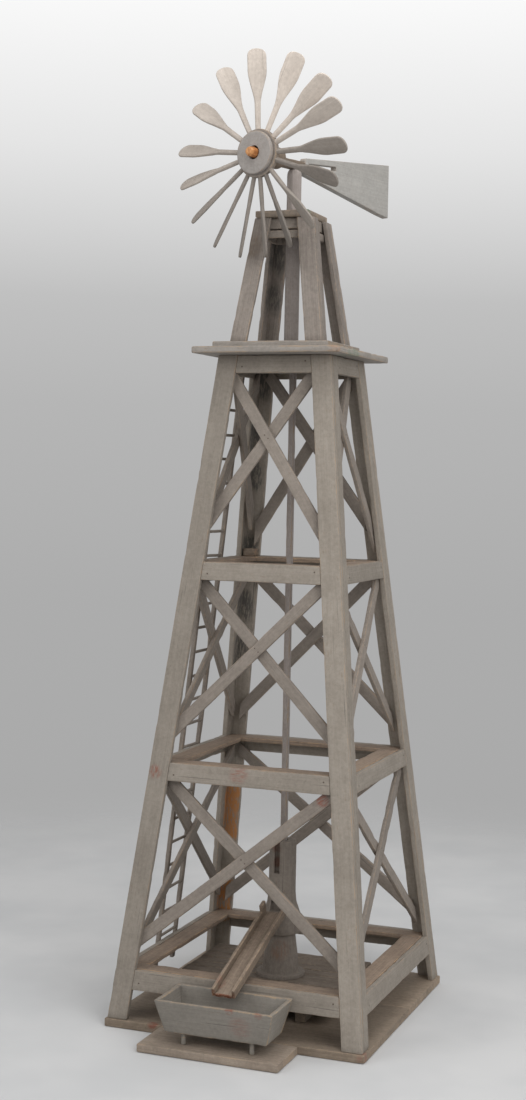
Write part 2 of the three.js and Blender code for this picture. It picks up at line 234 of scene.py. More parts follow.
# How fine the patterns are, along the grain and across it, and then those that have no direction.
STREAKS, BANDS, FLAKES, CRACKS = (11, 460, 460), (4, 120, 120), (60, 330, 330), (5, 380, 380)
CLOUDS, BLOTCHES, MOTTLE, SPECKS = 4.5, 22.0, 150.0, 620.0


class Wood(Material):
    """The patterns of old wood under a thin coat."""

    def __init__(self, name):
        super().__init__(name)
        self.streak = self.grained(STREAKS, 5.0, 0.65)
        self.band = self.grained(BANDS, 4.0, 0.55, 0.4)
        self.flake = self.grained(FLAKES, 4.0, 0.7)
        self.crack = self.grained(CRACKS, 2.0, 0.5)
        self.cloud = self.noise(self.places, CLOUDS, 2.0, 0.5)
        self.blotch = self.noise(self.places, BLOTCHES, 5.0, 0.62)
        self.mottle = self.noise(self.places, MOTTLE, 4.0, 0.65)
        self.speck = self.noise(self.places, SPECKS, 2.0, 0.6)

    def grained(self, scale, *looks):
        along = self.node("ShaderNodeMapping", Vector=self.attribute("grain", "Vector"), Scale=scale)
        return self.noise(along.outputs[0], 1.0, *looks)

    def shade(self, grain):
        """How light the coat is, with streaks as strong as grain says."""
        parts = ((self.streak, 0.5 * grain), (self.band, 0.3), (self.blotch, 0.5), (self.cloud, 0.3),
                 (self.mottle, 0.6))
        middle = sum(share for _, share in parts) / 2
        return self.step(self.total(*parts), middle - 0.36, middle + 0.36)

    def worn_rim(self, wear):
        ragged = self.total((self.attribute("wear"), 0.8), (self.blotch, 1.3), (self.mottle, 0.9))
        return self.step(ragged, 1.62, 2.15, 0.0, wear)

    def chips(self, strength):
        among = self.step(self.blotch, 0.45, 0.62, 0.0, strength)
        return self.math("MULTIPLY", self.step(self.flake, 0.58, 0.66), among)

    def cracks(self, strength):
        among = self.step(self.band, 0.4, 0.6, 0.0, min(0.75, 1.5 * strength))
        return self.math("MULTIPLY", self.step(self.crack, 0.66, 0.72), among)

    # Lays a mark's colour over a spot: a real stain, except inside the back left leg's corner, where it is
    # painted shade.
    def stain_or_shade(self, colour, centre, radii, tint, strength):
        scratchy = self.step(self.total((self.flake, 1.0), (self.blotch, 0.4)), 0.55, 0.8)
        covered = self.math("MULTIPLY", self.spot(centre, radii), scratchy)
        return self.mix(self.math("MULTIPLY", covered, strength), colour, rgba(tint))


def wood(name, light, dark, worn=TAN, bare=BARE, wear=1.0, chips=0.5, grain=1.0, marks=(),
         roughness=(0.62, 0.86)):
    """Old wood under a thin coat: streaks along the grain, blotches, worn edges and bare chips."""
    g = Wood(name)
    chip, crack = g.chips(chips), g.cracks(chips)
    colour = g.mix(g.shade(grain), rgba(dark), rgba(light))
    colour = g.mix(g.worn_rim(wear), colour, rgba(worn))
    colour = g.mix(chip, colour, rgba(bare))
    colour = g.mix(crack, colour, rgba(dark, 0.3))
    colour = g.mix(g.step(g.speck, 0.58, 0.76, 0.0, 0.3), colour, rgba(dark, 0.4))
    for mark in marks:
        colour = g.stain_or_shade(colour, *mark)
    # A board's random tone, and a blade's painted light and shade, scale the colour.
    tone_and_painted_light = g.math("ADD", g.math("MULTIPLY", g.attribute("tone_and_painted_light"), TONE_SHARE), 1.0)
    toned = g.calculate("ShaderNodeVectorMath", "SCALE", colour, (0, 0, 0))
    opened = g.math("ADD", chip, crack)
    height = g.total((g.streak, 0.8), (g.speck, 0.18), (g.mottle, 0.5), (opened, -0.6))
    g.set(g.shader, Base_Color=g.set(toned, Scale=tone_and_painted_light).outputs[0], Normal=g.bump(height, 0.55),
          Roughness=g.step(g.streak, 0.3, 0.7, *reversed(roughness)), Specular_IOR_Level=0.3)
    return g.made


def leg_corner_shade(z, tall, strength, tower=LOWER, thickness=LEG_THICKNESS):
    """Painted shade inside the corner of the back left leg: a dark patch."""
    inside = thickness + 10
    centre = (tower.shift - tower.along(0, z) + inside, tower.out(0, z) - inside, z)
    return centre, (21, 21, 1.3 * tall), CORNER_SHADE, strength


def bare_strip(z):
    """A patch of bare orange wood on the inner face of the back left leg's rear board."""
    return (24 - LOWER.along(0, z), LOWER.out(0, z) - 15, z), (25, 9, 34), ORANGE_WOOD, 2.2


# Stains, and patches of painted shade: the centre, the radius or three radii, the colour and the strength.
# Above 1, a mark's middle is covered more evenly.
GREY_MARKS = (
    ((-178, -193, 457), 16, RED, 0.7),
    ((-17, -193, 464), 22, RED, 0.45),
    ((118, -216, 190), 30, RED, 0.3),
    *(bare_strip(z) for z in (92, 122, 152, 262, 290, 318, 346)),
    # Painted shade inside the back left leg's corner: its height, how tall it is and its strength.
    *(leg_corner_shade(*stain_or_shade) for stain_or_shade in (
        (640, 46, 2.2), (730, 38, 2.2), (850, 30, 1.6), (985, 34, 1.9), (1065, 46, 2.4), (1165, 44, 2.2))),
)
UPPER_MARKS = (
    # Painted shade inside the upper back left leg's corner.
    leg_corner_shade(1400, 46, 1.7, UPPER, UPPER_THICKNESS),
    leg_corner_shade(1320, 36, 1.3, UPPER, UPPER_THICKNESS),
    ((-62, -56, 1410), 26, BARE, 0.5),
)
SHADE_MARKS = (((138, -186, 430), 15, RED, 0.8),)
WALK_MARKS = (((131, -145, 1221), 15, TAN_WOOD, 0.8), ((138, -60, 1214), 44, GREEN_TRACE, 0.55))
CAP_MARKS = (((44, -52, 1473), 15, GREEN_TRACE, 0.9),)
BASE_MARKS = (((-150, -245, 14), 13, RED, 0.7), ((236, -240, 8), 14, RED, 0.6))
TROUGH_MARKS = (
    ((4.5, -295.5, 96), (260, 130, 3.4), RIM_TAN, 0.8),
    ((52, -344, 64), 26, RED, 0.25),
    ((35, -348, 94), 10, RED, 0.7),
    ((88, -345, 93), 10, RED, 0.5),
)
PUMP_MARKS = (
    ((-3, -16, 300), 15, RUST_BROWN, 0.95),
    ((-3, -14, 272), 15, RUST_BROWN, 0.9),
    ((8, -34, 110), 26, OLD_RUST, 0.5),
)
CHUTE_MARKS = (((0, -291, 96), (40, 7, 14), RUST_BROWN, 2.0), ((-20, -262, 112), 18, RED, 0.3))

GREY = wood(
    "grey_paint", (0.325, 0.288, 0.246), (0.208, 0.18, 0.149), grain=0.7, marks=GREY_MARKS
)
UPPER_GREY = wood(
    "upper_grey_paint", (0.3, 0.262, 0.23), (0.172, 0.146, 0.126),
    grain=1.4, marks=UPPER_MARKS,
)
# Darker grey for the braces, the cap's slats and posts, and the ladder: dust, and painted shade.
SHADE = wood(
    "dusty_and_shaded_paint", (0.3, 0.262, 0.226), (0.185, 0.156, 0.132), grain=0.8, marks=SHADE_MARKS
)
WALK = wood(
    "walkway_paint", (0.33, 0.3, 0.27), (0.21, 0.188, 0.165), grain=0.7, marks=WALK_MARKS
)
CAP = wood("cap_wood", (0.27, 0.225, 0.182), (0.165, 0.134, 0.106), marks=CAP_MARKS)
HUB = wood("hub_paint", (0.37, 0.34, 0.318), (0.26, 0.238, 0.22), chips=0.3)
REAR_HUB = wood("rear_hub_paint", (0.3, 0.262, 0.232), (0.19, 0.16, 0.138), chips=0.4)
VANE = wood(
    "vane_paint", (0.41, 0.396, 0.37), (0.285, 0.273, 0.255), (0.3, 0.25, 0.21), chips=0.25
)
LEDGE = wood(
    "ledge_wood", (0.31, 0.235, 0.175), (0.165, 0.12, 0.09), (0.42, 0.28, 0.17), chips=0.8
)
BASE = wood(
    "base_wood", (0.305, 0.244, 0.186), (0.178, 0.137, 0.1),
    (0.33, 0.25, 0.18), marks=BASE_MARKS,
)
LANDING = wood(
    "landing_wood", (0.39, 0.32, 0.255), (0.225, 0.18, 0.142),
    (0.37, 0.28, 0.2), marks=BASE_MARKS,
)
DECK = wood(
    "deck_wood", (0.255, 0.21, 0.17), (0.135, 0.107, 0.083), (0.31, 0.24, 0.175), grain=1.3
)
CHUTE = wood(
    "chute_wood", (0.31, 0.245, 0.188), (0.16, 0.118, 0.088),
    (0.42, 0.31, 0.21), chips=0.7, marks=CHUTE_MARKS,
)
DARK = wood(
    "dark_paint", (0.285, 0.248, 0.212), (0.175, 0.148, 0.125),
    (0.27, 0.2, 0.14), marks=PUMP_MARKS,
)
MAST = wood("mast_paint", (0.39, 0.345, 0.32), (0.265, 0.23, 0.21))
TROUGH = wood(
    "trough_paint", (0.275, 0.252, 0.221), (0.194, 0.176, 0.152),
    (0.4, 0.3, 0.2), wear=1.2, marks=TROUGH_MARKS,
)
RAW = wood(
    "raw_wood", (0.24, 0.19, 0.145), (0.125, 0.094, 0.07),
    (0.3, 0.2, 0.13), (0.1, 0.06, 0.04),
)
BLADE = wood(
    "blade_paint", (0.54, 0.48, 0.425), (0.36, 0.315, 0.275),
    (0.4, 0.31, 0.24), wear=0.3, chips=0.18, grain=0.8,
)
PIN = wood(
    "pin_paint", (0.56, 0.24, 0.085), (0.27, 0.095, 0.03),
    (0.7, 0.36, 0.14), (0.15, 0.05, 0.02), chips=0.6, roughness=(0.3, 0.5),
)


def nail_metal():
    """Dull iron with brown rust."""
    g = Material("nail_iron")
    rust = g.noise(g.places, 900.0)
    colour = g.mix(rust, rgba((0.1, 0.088, 0.076)), rgba((0.13, 0.085, 0.055)))
    g.set(g.shader, Base_Color=colour, Roughness=g.step(rust, 0.3, 0.7, 0.45, 0.8), Metallic=0.6)
    return g.made


NAIL = nail_metal()


# ---- pieces ----
class Piece:
    """One visible piece, gathered from closed bodies and then made into an object."""

    count = 0

    def __init__(self, name, material, body="tower", matrix=None, cut=()):
        self.name, self.body, self.material = name, body, material
        self.matrix = matrix or Matrix.Identity(4)
        self.cutters = cut
        self.points, self.faces, self.slots = [], [], []
        self.grain, self.wear, self.tone_and_painted_light = [], [], []
        self.materials = [material]

    @classmethod
    def seed(cls):
        cls.count += 1
        return cls.count

    def add_point(self, point, grain, wear, tone_and_painted_light):
        self.points.append(point)
        self.grain.append(grain)
        self.wear.append(wear)
        self.tone_and_painted_light.append(tone_and_painted_light)

    def material_index(self, material):
        if material not in self.materials:
            self.materials.append(material)
        return self.materials.index(material)

    def loft(self, rings, tone_and_painted_light=0.0, material=None, capped=True):
        """Skins rings of (point, grain, wear). Without caps, the last ring joins the first."""
        start, count = len(self.points), len(rings[0])
        for ring in rings:
            for spot in ring:
                self.add_point(*spot, tone_and_painted_light)
        spans = len(rings) - 1 if capped else len(rings)
        for i in range(spans):
            a, b = start + i * count, start + ((i + 1) % len(rings)) * count
            for j in range(count):
                k = (j + 1) % count
                self.faces.append((a + j, a + k, b + k, b + j))
        if capped:
            self.faces.append(tuple(range(start + count - 1, start - 1, -1)))
            last = start + (len(rings) - 1) * count
            self.faces.append(tuple(range(last, last + count)))
        index = self.material_index(material or self.material)
        self.slots += [index] * (len(self.faces) - len(self.slots))

    def mesh(self, name):
        mesh = bpy.data.meshes.new(name)
        mesh.from_pydata([self.matrix @ p * MM for p in self.points], [], self.faces)
        for material in self.materials:
            mesh.materials.append(material)
        mesh.polygons.foreach_set("material_index", self.slots)
        grain = [c * MM for g in self.grain for c in g]
        mesh.attributes.new("grain", "FLOAT_VECTOR", "POINT").data.foreach_set("vector", grain)
        mesh.attributes.new("wear", "FLOAT", "POINT").data.foreach_set("value", self.wear)
        mesh.attributes.new("tone_and_painted_light", "FLOAT", "POINT").data.foreach_set("value", self.tone_and_painted_light)
        work = bmesh.new()
        work.from_mesh(mesh)
        bmesh.ops.recalc_face_normals(work, faces=work.faces)
        work.to_mesh(mesh)
        work.free()
        return mesh

    def make(self, crease=38):
        """Makes the object, with edges sharper than crease degrees left unsmoothed."""
        shown = f"{self.name}_wood"
        made = bpy.data.objects.new(shown, self.mesh(shown))
        bpy.context.scene.collection.objects.link(made)
        for low, high in self.cutters:
            cut_box(made, low, high)
        made.data.polygons.foreach_set("use_smooth", [True] * len(made.data.polygons))
        made.data.set_sharp_from_angle(angle=math.radians(crease))
        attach(made, self.body)
        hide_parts(self.name)


def cut_box(target, low, high):
    """Takes a box, given in millimetres, out of an object's mesh."""
    mesh = bpy.data.meshes.new("cutter")
    work = bmesh.new()
    bmesh.ops.create_cube(work, size=1.0)
    for vertex in work.verts:
        for axis in range(3):
            vertex.co[axis] = MM * (high[axis] if vertex.co[axis] > 0 else low[axis])
    work.to_mesh(mesh)
    work.free()
    cutter = bpy.data.objects.new("cutter", mesh)
    bpy.context.scene.collection.objects.link(cutter)
    change = target.modifiers.new("cut", "BOOLEAN")
    change.operation, change.solver, change.object = "DIFFERENCE", "EXACT", cutter
    graph = bpy.context.evaluated_depsgraph_get()
    target.data = bpy.data.meshes.new_from_object(target.evaluated_get(graph))
    target.modifiers.clear()
    bpy.data.objects.remove(cutter)


# A board's wear: how fast its edges and faces wave along it and how deep the waves are, then the
# pace, threshold, steepness and greatest depth of the nicks in its corners, and how much narrower
# its ends are, in radii of its corners.
EDGE_PACE, EDGE_DEPTH = 0.018, 0.8
FACE_PACE, FACE_DEPTH = 0.013, 0.6
NICK_PACE, NICK_FROM, NICK_GAIN, NICK_DEPTH = 0.09, 0.28, 3.2, 1.2
END_INSET = 1.4


def section(width, thickness, radius):
    """A rounded rectangle as (across, through, wear, corner) in shares of its two sizes.

    The corner is -1 for a point that isn't on one.
    """
    rv, rw = radius / width, radius / thickness
    rim_v, rim_w = min(0.3, 3.5 * rv), min(0.42, 2.6 * rw)
    quarter = 0.3
    points = []
    for corner, (v, w) in enumerate(((0, 0), (1, 0), (1, 1), (0, 1))):
        sv, sw = 1 - 2 * v, 1 - 2 * w
        through = [(v, w + sw * rim_w, 0.0, -1), (v, w + sw * rw, 0.75, corner)]
        across = [(v + sv * rv, w, 0.75, corner), (v + sv * rim_v, w, 0.0, -1)]
        middle = [(v + sv * rv * quarter, w + sw * rw * quarter, 1.0, corner)]
        run = through + middle + across
        points += run if corner % 2 == 0 else run[::-1]
    return points


def waves(here, pace, row, column):
    """How far a surface is worn away at a place along a board, from 0 to about 1."""
    return max(0.0, 0.5 + noise.noise(Vector((here * pace, row, column))))


def nick_depth(here, seed, corner, radius):
    nick = noise.noise(Vector((here * NICK_PACE, seed * 3.7, corner * 11.3))) - NICK_FROM
    return max(0.0, min(nick * NICK_GAIN, 1.0)) * min(radius, NICK_DEPTH)


def board(piece, outer, inner, radius=1.1, rough=0.3, step=16.0, material=None):
    """A worn board between two four-cornered faces, its grain along a face's first edge."""
    seed = Piece.seed()
    a, b, c, d = outer
    a2, b2, c2, d2 = inner
    length = ((b - a).length + (c - d).length) / 2
    width = ((d - a).length + (c - b).length) / 2
    thickness = (a2 - a).length
    radius = min(radius, 0.3 * thickness, 0.3 * width)
    profile = section(width, thickness, radius)
    spans = max(2, round(length / step))
    shares = [0.0, radius / length, *(i / spans for i in range(1, spans)), 1 - radius / length, 1.0]
    rings = []
    for number, u in enumerate(shares):
        from_end = min(number, len(shares) - 1 - number)
        end_wear = (0.8, 0.5)[from_end] if from_end < 2 else 0.0
        low, high = a.lerp(b, u), d.lerp(c, u)
        low2, high2 = a2.lerp(b2, u), d2.lerp(c2, u)
        across, through = (high - low).normalized(), (low2 - low).normalized()
        here = u * length
        ring = []
        for v, w, worn, corner in profile:
            if from_end == 0:
                v = 0.5 + (v - 0.5) * (1 - END_INSET * radius / width)
                w = 0.5 + (w - 0.5) * (1 - END_INSET * radius / thickness)
            point = low.lerp(high, v).lerp(low2.lerp(high2, v), w)
            side_v, side_w = (1 if v > 0.5 else -1), (1 if w > 0.5 else -1)
            edge_wave = waves(here, EDGE_PACE, seed * 7.3, side_v * 3.1)
            face_wave = waves(here, FACE_PACE, seed * 5.1, 9 + side_w * 3.1)
            point -= across * side_v * rough * edge_wave * EDGE_DEPTH
            point -= through * side_w * rough * face_wave * FACE_DEPTH
            if corner >= 0:
                point -= (across * side_v + through * side_w) * nick_depth(here, seed, corner, radius)
            grain = (here + seed * 371.0, v * width + seed * 53.0, w * thickness)
            ring.append((point, grain, max(worn, end_wear)))
        rings.append(ring)
    piece.loft(rings, random.Random(seed).uniform(-1, 1), material)


def block(piece, low, high, axis=0, **options):
    """A board with level faces between two opposite corners, its grain along an axis."""
    x0, y0, z0 = low
    x1, y1, z1 = high
    if axis == 2:
        outer = [(x0, y0, z0), (x0, y0, z1), (x1, y0, z1), (x1, y0, z0)]
        inner = [(x, y1, z) for x, _, z in outer]
    else:
        turned = (x0, y1) if axis == 1 else (x1, y0)
        last = (x1, y0) if axis == 1 else (x0, y1)
        outer = [(x, y, z1) for x, y in ((x0, y0), turned, (x1, y1), last)]
        inner = [(x, y, z0) for x, y, _ in outer]
    board(piece, [Vector(p) for p in outer], [Vector(p) for p in inner], **options)


def level_frame(piece, x, half_x, half_y, width, gap, low, high, **options):
    """Four boards in a level rectangle about x: two along X and, between them, two along Y."""
    end = half_y - width - gap
    for sign in (-1, 1):
        y0, y1 = sorted((sign * half_y, sign * (half_y - width)))
        block(piece, (x - half_x, y0, low), (x + half_x, y1, high), **options)
        x0, x1 = sorted((x + sign * half_x, x + sign * (half_x - width)))
        block(piece, (x0, -end, low), (x1, end, high), axis=1, **options)


def face_board(piece, tower, side, outline, near, far, **options):
    """A board on a tower's face, its outline given as (s, z) points."""
    faces = [[tower.place(side, s, z, depth) for s, z in outline] for depth in (near, far)]
    board(piece, *faces, **options)


def upright(piece, tower, side, edges, low, high, near, far, **options):
    """A board up a tower's face between two edges, each s as a function of z, with level ends."""
    faces = []
    for depth in (near, far):
        drop = depth * math.sin(tower.lean(side))
        heights = (low + drop, high + drop)
        corners = [(edges[0], 0), (edges[0], 1), (edges[1], 1), (edges[1], 0)]
        faces.append([tower.place(side, edge(heights[end]), heights[end], depth) for edge, end in corners])
    board(piece, *faces, **options)


def circle(sides):
    """The (x, y) points of a circle of radius 1."""
    angles = [2 * math.pi * i / sides for i in range(sides)]
    return [(math.cos(angle), math.sin(angle)) for angle in angles]


def revolve(piece, profile, sides=48, wears=None, capped=True, material=None, wobble=0.0, turn=None):
    """A body turned about Z from (radius, height) points, in the frame of turn."""
    turn = turn or Matrix.Identity(4)
    seed = Piece.seed()
    rings = []
    for (radius, height), wear in zip(profile, wears or [0.0] * len(profile)):
        ring = []
        for x, y in circle(sides):
            r = radius + wobble * (noise.noise(Vector((x * 1.6, y * 1.6, height * 0.05 + seed))) - 0.5)
            ring.append((turn @ Vector((r * x, r * y, height)), (height + seed * 91.0, r * x, r * y), wear))
        rings.append(ring)
    piece.loft(rings, material=material, capped=capped)


def softened(profile, radius, wear=0.9):
    """A profile with each inner corner cut to three points, and the wear at each point."""
    points, wears = [profile[0]], [0.3]
    for before, here, after in zip(profile, profile[1:], profile[2:]):
        p, q, r = Vector(before), Vector(here), Vector(after)
        back = min(radius, 0.4 * (p - q).length)
        on = min(radius, 0.4 * (r - q).length)
        start, end = q + (p - q).normalized() * back, q + (r - q).normalized() * on
        middle = q * 0.5 + (start + end) * 0.25
        points += [tuple(start), tuple(middle), tuple(end)]
        wears += [wear * 0.5, wear, wear * 0.5]
    return points + [profile[-1]], wears + [0.3]


def subdivided(profile, wears, step):
    """A profile with unworn points added, so that none are much more than step apart."""
    points, levels = [], []
    for p, q, wear in zip(profile, profile[1:], wears):
        spans = max(1, round((Vector(q) - Vector(p)).length / step))
        points += [tuple(Vector(p).lerp(Vector(q), i / spans)) for i in range(spans)]
        levels += [wear] + [0.0] * (spans - 1)
    return points + [profile[-1]], levels + [wears[-1]]


def facing(point, way):
    """The frame at a point whose Z axis looks along way."""
    return Matrix.Translation(point) @ way.to_track_quat("Z", "Y").to_matrix().to_4x4()


def nail(piece, point, outward, radius=1.5, proud=0.35):
    """A nail's domed head on a surface."""
    profile = [(radius, -0.6), (radius, proud * 0.3), (radius * 0.75, proud * 0.8), (radius * 0.3, proud)]
    revolve(piece, profile, 10, material=NAIL, turn=facing(point, outward))


def hanging_nail(piece, place, length):
    profile = [(0.35, -length), (1.0, 3 - length), (1.1, 0)]
    revolve(piece, profile, 8, material=NAIL, turn=Matrix.Translation(place))


# ---- the base, deck and legs ----
def make_base():
    piece = Piece("base_board", BASE)
    seams, half_gap = (-BASE_HALF_DEPTH, 30, BASE_HALF_DEPTH), 0.05
    for front, back in zip(seams, seams[1:]):
        low = (-BASE_HALF_WIDTH, front + half_gap, 0)
        high = (BASE_HALF_WIDTH, back - half_gap, BASE_TOP)
        block(piece, low, high, radius=1.6, rough=0.4)
    piece.make()


def make_landing():
    piece = Piece("trough_landing", LANDING)
    left, right, front = -134, 125, -350
    block(piece, (left, front, 0), (right, -BASE_HALF_DEPTH - GAP, BASE_TOP), radius=1.8, rough=0.8)
    piece.make()


def make_deck():
    piece = Piece("well_deck", DECK)
    planks, start, end = 9, -141, 141
    left, right, under, top = -183, 136, 46, 58
    width = (end - start) / planks
    draw = random.Random(11)
    for i in range(planks):
        y = start + i * width
        short_right, short_left, sunk = draw.uniform(0, 4), draw.uniform(0, 2), draw.uniform(0, 0.7)
        low = (left + short_left, y + 0.5, under)
        high = (right - short_right, y + width - 0.5, top - sunk)
        block(piece, low, high, radius=1.5, rough=0.5)
    batten_half, batten_width = 131, 20
    for x in (-143, 76):
        low = (x, -batten_half, BASE_TOP + GAP)
        block(piece, low, (x + batten_width, batten_half, under + 0.5), axis=1)
    piece.make()


def make_leg(name, material, tower, side, face, thickness, low, high):
    """Two boards in an L. The front and back ones overlap the ends of the others."""
    piece = Piece(name, material)
    for board_side, sign in ((side, 1), ((side + 1) % 4, -1)):
        lap = 0 if board_side % 2 == 0 else thickness * 1.02 + 0.2

        def outer_edge(z):
            return sign * (tower.along(board_side, z) - lap)

        def inner_edge(z):
            return sign * (tower.along(board_side, z) - face)

        upright(piece, tower, board_side, (outer_edge, inner_edge), low, high, 0, thickness, step=12)
    piece.make()


def make_legs():
    for side, corner in enumerate(CORNERS):
        make_leg(f"leg_{corner}", GREY, LOWER, side, LEG_FACE, LEG_THICKNESS,
                 BASE_TOP + GAP, WALK_LOW - GAP)
        make_leg(f"upper_leg_{corner}", UPPER_GREY, UPPER, side, UPPER_FACE, UPPER_THICKNESS,
                 FLOOR_HIGH + GAP, UPPER.high)


def make_girts():
    nail_from_end, nail_rise = 9, 5
    for name, low, high in GIRTS:
        piece = Piece(name, GREY)
        for side in range(4):
            foot = LOWER.along(side, low) - LEG_FACE - GAP
            head = LOWER.along(side, high) - LEG_FACE - GAP
            outline = [(-foot, low), (foot, low), (head, high), (-head, high)]
            face_board(piece, LOWER, side, outline, GAP, LEG_THICKNESS, step=12)
            for sign in (-1, 1):
                s, z = sign * (head - nail_from_end), (low + high) / 2 + sign * nail_rise
                nail(piece, LOWER.place(side, s, z, GAP), LOWER.outward(side))
        half_x, half_y = LOWER.inside(high, LEG_THICKNESS + 0.5)
        top = high - 1
        level_frame(piece, 0, half_x, half_y, LEDGE_REACH, GAP, top - LEDGE_THICKNESS, top,
                    material=LEDGE, rough=0.5)
        if name == "high_girt":
            make_corner_block(piece, -half_x, half_y, top)
        piece.make()


def make_corner_block(piece, x, y, floor):
    """The short brown block that stands on a girt in the back left corner."""
    wide, deep, tall, inset = 24, 20, 15, 3
    low = (x + inset, y - deep - inset, floor + GAP)
    block(piece, low, (x + inset + wide, y - inset, floor + tall), material=RAW)


def brace_outline(side, panel, climb):
    """A brace's four corners and the ends of its middle line.

    Its ends are cut parallel to the legs, and its head also level, above the upper girt's edge.
    """
    _, rises, heads, _ = PANELS[panel]
    low_z, high_z = GIRTS[panel][2] + rises[climb], GIRTS[panel + 1][1]
    sign = 1 if climb == 0 else -1
    start = Vector((-sign * (LOWER.along(side, low_z) - LEG_FACE), low_z))
    end = Vector((sign * (LOWER.along(side, high_z) - LEG_FACE + heads[climb]), high_z))
    along = (end - start).normalized()
    across = Vector((-along.y, along.x)) * BRACE_WIDTH / 2
    corner_clear, above = 28.2, 17.5
    slope = LOWER.along(side, 1) - LOWER.along(side, 0)

    def reach(origin, way, sign_here):
        """How far from origin a line runs until it is corner_clear from the tower's corner."""
        gap = LOWER.along(side, origin.y) - corner_clear - sign_here * origin.x
        return gap / (sign_here * way.x - slope * way.y)

    corners = []
    for offset in (-across, across):
        origin = start + offset
        foot = reach(origin, -along, -sign)
        head = min(reach(origin, along, sign), (high_z + above - origin.y) / along.y)
        corners.append((origin - along * foot, origin + along * head))
    (a, b), (d, c) = corners
    return [tuple(p) for p in (a, b, c, d)], start, end


def cross(a, b, c, d):
    """Where the line from a to b meets the line from c to d."""
    p, q = b - a, d - c
    share = ((c - a).x * q.y - (c - a).y * q.x) / (p.x * q.y - p.y * q.x)
    return a + p * share


def make_braces():
    for panel, (name, _, _, outside) in enumerate(PANELS):
        for side, side_name in enumerate(SIDES):
            piece = Piece(f"{name}_braces_{side_name}", SHADE)
            ends = []
            for climb, inset in ((outside, BRACE_INSET), (1 - outside, BRACE_INSET + BRACE_THICKNESS)):
                outline, start, end = brace_outline(side, panel, climb)
                face_board(piece, LOWER, side, outline, inset, inset + BRACE_THICKNESS - 0.1, radius=1.3)
                ends += [start, end]
            crossing = cross(*ends)
            for ds, dz in ((-3.5, 3), (3.5, -3)):
                point = LOWER.place(side, crossing.x + ds, crossing.y + dz, BRACE_INSET)
                nail(piece, point, LOWER.outward(side), 1.3)
            piece.make()


# ---- the walkway and the cap ----
def make_walkway():
    half_x, half_y, width = 138.5, 155, 62
    for side, name in enumerate(SIDES):
        piece = Piece(f"walkway_{name}", WALK)
        long, out = (half_y, half_x) if side % 2 else (half_x, half_y)
        half, inner_half = long - GAP, long - width - GAP
        outline = [(-half, -out), (half, -out), (inner_half, width - out), (-inner_half, width - out)]
        turn = Matrix.Rotation(side * math.pi / 2, 4, "Z")
        faces = [[turn @ Vector((x, y, z)) for x, y in outline] for z in (WALK_HIGH, WALK_LOW)]
        board(piece, *faces, radius=2.4, rough=0.5, step=10)
        piece.make()


def make_walkway_floor():
    piece = Piece("walkway_floor", WALK)
    left, right, front, back = -121, 101, -98, 90
    planks, half_gap, stagger = 4, 0.2, 0.4
    width = (back - front) / planks
    for i in range(planks):
        y = front + i * width
        low = (left + stagger * (i % 2), y + half_gap, WALK_HIGH + GAP)
        block(piece, low, (right, y + width - half_gap, FLOOR_HIGH), radius=1.8, rough=0.4)
    piece.make()


def holed_plate(piece, low, high, centre, hole, z0, z1, radius=1.4, sides=64):
    """A rectangular board with a round hole, its grain along X."""
    seed = Piece.seed()
    (x0, y0), (x1, y1), (cx, cy) = low, high, centre

    def rim(angle, inset):
        """The point at an angle on the board's outline, or on the hole's when inset is None."""
        x, y = math.cos(angle), math.sin(angle)
        if inset is None:
            return cx + hole * x, cy + hole * y
        reach_x = (x1 - inset - cx) if x > 0 else (x0 + inset - cx)
        reach_y = (y1 - inset - cy) if y > 0 else (y0 + inset - cy)
        scale = min(reach_x / x if abs(x) > 1e-6 else math.inf, reach_y / y if abs(y) > 1e-6 else math.inf)
        return scale * x + cx, scale * y + cy

    corners = [math.atan2(y - cy, x - cx) % (2 * math.pi) for x in (x0, x1) for y in (y0, y1)]
    angles = sorted([2 * math.pi * i / sides for i in range(sides)] + corners)
    # How far in from the rim, how far from the face, and how worn.
    soft, flat = 0.4 * radius, 5.0
    edge = ((0.0, radius, 0.8), (soft, soft, 1.0), (radius, 0.0, 0.8), (flat, 0.0, 0.0), (None, 0.0, 0.4))
    levels = [(inset, z0 + rise, wear) for inset, rise, wear in edge]
    levels += [(inset, z1 - rise, wear) for inset, rise, wear in reversed(edge)]
    rings = []
    for inset, z, wear in levels:
        points = [Vector((*rim(angle, inset), z)) for angle in angles]
        rings.append([(p, (p.x + seed * 97.0, p.y, p.z), wear) for p in points])
    piece.loft(rings, 0.1, capped=False)


def make_cap():
    """The top board, two rows of slats under it and a post in each corner."""
    piece = Piece("cap", CAP)
    shift = UPPER.shift
    bottom, top, hole = UPPER.high + GAP, UPPER.high + 12.3, 16
    holed_plate(piece, (shift - 54, -55), (shift + 48, 50), (shift, 0), hole, bottom, top)
    wall, clearance, post = 7, UPPER_THICKNESS + 1, 5
    slats = ((1442.5, 1461.5), (1425.5, 1439.5))
    for low, high in slats:
        half_x, half_y = UPPER.inside(high, clearance)
        level_frame(piece, shift, half_x, half_y, wall, 0.2, low, high, material=SHADE)
    half_x, half_y = UPPER.inside(slats[0][1], clearance + wall)
    for sx in (-1, 1):
        for sy in (-1, 1):
            x, y = shift + sx * half_x, sy * half_y
            low, high = (x - post, y - post, slats[1][0]), (x + post, y + post, bottom - 0.1)
            block(piece, low, high, axis=2, material=SHADE)
    piece.make()


